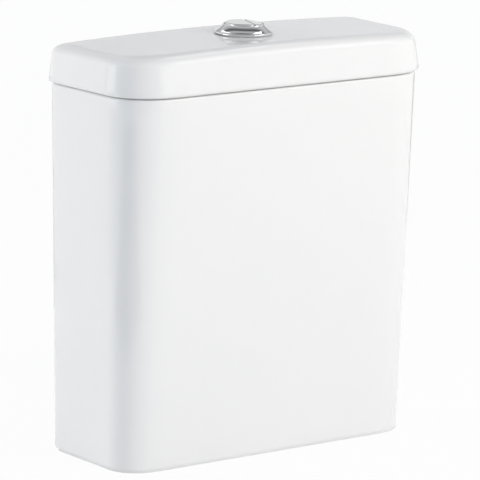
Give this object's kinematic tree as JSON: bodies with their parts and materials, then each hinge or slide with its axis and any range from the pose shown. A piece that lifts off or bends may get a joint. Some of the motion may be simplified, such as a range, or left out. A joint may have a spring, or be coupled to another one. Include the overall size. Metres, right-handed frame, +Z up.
{
  "type": "toilet cistern",
  "caption": "Close-coupled ceramic toilet cistern with a lift-off lid, two-part push button, flush valve and float fill valve.",
  "frame": {"origin": "on the surface it stands on, under the middle of the lid's outline", "axes": "+Z up, -Y the front with its wide flat face, +Y the wall side, -X the side with the water inlet"},
  "size_m": [0.3662, 0.1385, 0.4049],
  "materials": {
    "glaze": "smooth white glaze, high gloss",
    "chrome": "polished",
    "white_plastic": "moulded, slight sheen",
    "grey_plastic": "moulded, slight sheen",
    "blue_plastic": "moulded, slight sheen",
    "float_foam": "closed-cell foam, matt",
    "black_rubber": "matt",
    "foam_rubber": "matt foam",
    "silicone": "soft, semi-matt",
    "steel": "drawn wire"
  },
  "bodies": {
    "cistern": {"cistern_tank": "glaze", "valve_base": "white_plastic", "base_washer": "black_rubber", "tail_nut": "white_plastic", "coupling_washer": "foam_rubber", "valve_tower": "white_plastic", "tower_head": "grey_plastic", "full_rocker_pin": "steel", "half_rocker_pin": "steel", "inlet_shank": "white_plastic", "inlet_washer": "black_rubber", "inlet_nut": "grey_plastic", "inlet_filter": "blue_plastic", "riser_tube": "white_plastic", "riser_lock_ring": "grey_plastic", "fill_valve_head": "white_plastic", "silencer_pipe": "grey_plastic", "diaphragm": "black_rubber", "head_cap": "grey_plastic", "lever_pin": "steel"},
    "lid": {"lid": "glaze", "button_bezel": "chrome", "bezel_washer": "black_rubber", "bezel_nut": "white_plastic", "button_guide": "white_plastic", "full_button_spring": "steel", "half_button_spring": "steel"},
    "full_button": {"full_flush_button": "chrome", "full_push_rod": "grey_plastic"},
    "half_button": {"half_flush_button": "chrome", "half_push_rod": "grey_plastic"},
    "full_rocker": {"full_rocker": "blue_plastic"},
    "half_rocker": {"half_rocker": "blue_plastic"},
    "lift_tube": {"lift_yoke": "blue_plastic", "overflow_tube": "white_plastic", "seat_seal": "silicone", "seal_clamp": "grey_plastic", "tube_float": "float_foam", "float_clip": "grey_plastic"},
    "float": {"float_cup": "white_plastic", "float_link": "blue_plastic", "link_clip": "grey_plastic"},
    "fill_lever": {"fill_lever": "blue_plastic"}
  },
  "joints": [
    {"name": "lid_lift", "type": "slide", "parent": "cistern", "child": "lid", "axis": [0, 0, 1], "range_m": [0, 0.12]},
    {"name": "full_flush_press", "type": "slide", "parent": "lid", "child": "full_button", "axis": [0, 0, -1], "range_m": [0, 0.006], "stiffness_N_per_m": 250, "springref_m": -0.004, "deforming": ["full_button_spring"]},
    {"name": "half_flush_press", "type": "slide", "parent": "lid", "child": "half_button", "axis": [0, 0, -1], "range_m": [0, 0.006], "stiffness_N_per_m": 250, "springref_m": -0.004, "deforming": ["half_button_spring"]},
    {"name": "full_rocker_swing", "type": "hinge", "parent": "cistern", "child": "full_rocker", "pos_m": [-0.02454, 0.01159, 0.304], "axis": [0.3305, 0.9438, 0], "range_deg": [0, 20.5]},
    {"name": "half_rocker_swing", "type": "hinge", "parent": "cistern", "child": "half_rocker", "pos_m": [0.02454, -0.00559, 0.304], "axis": [-0.3305, -0.9438, 0], "range_deg": [0, 25.7]},
    {"name": "tube_lift", "type": "slide", "parent": "cistern", "child": "lift_tube", "axis": [0, 0, 1], "range_m": [0, 0.0065]},
    {"name": "float_rise", "type": "slide", "parent": "cistern", "child": "float", "axis": [0, 0, 1], "range_m": [0, 0.01]},
    {"name": "fill_lever_swing", "type": "hinge", "parent": "cistern", "child": "fill_lever", "pos_m": [-0.118, 0.004, 0.2781], "axis": [0, 1, 0], "range_deg": [0, 19.3]}
  ],
  "couplings": [
    {"joint": "full_rocker_swing", "follows": "full_flush_press", "rad_per_m": 58.824},
    {"joint": "tube_lift", "follows": "full_flush_press", "ratio": 1.0588},
    {"joint": "half_rocker_swing", "follows": "half_flush_press", "rad_per_m": 74.074},
    {"joint": "fill_lever_swing", "follows": "float_rise", "rad_per_m": 33.333}
  ]
}
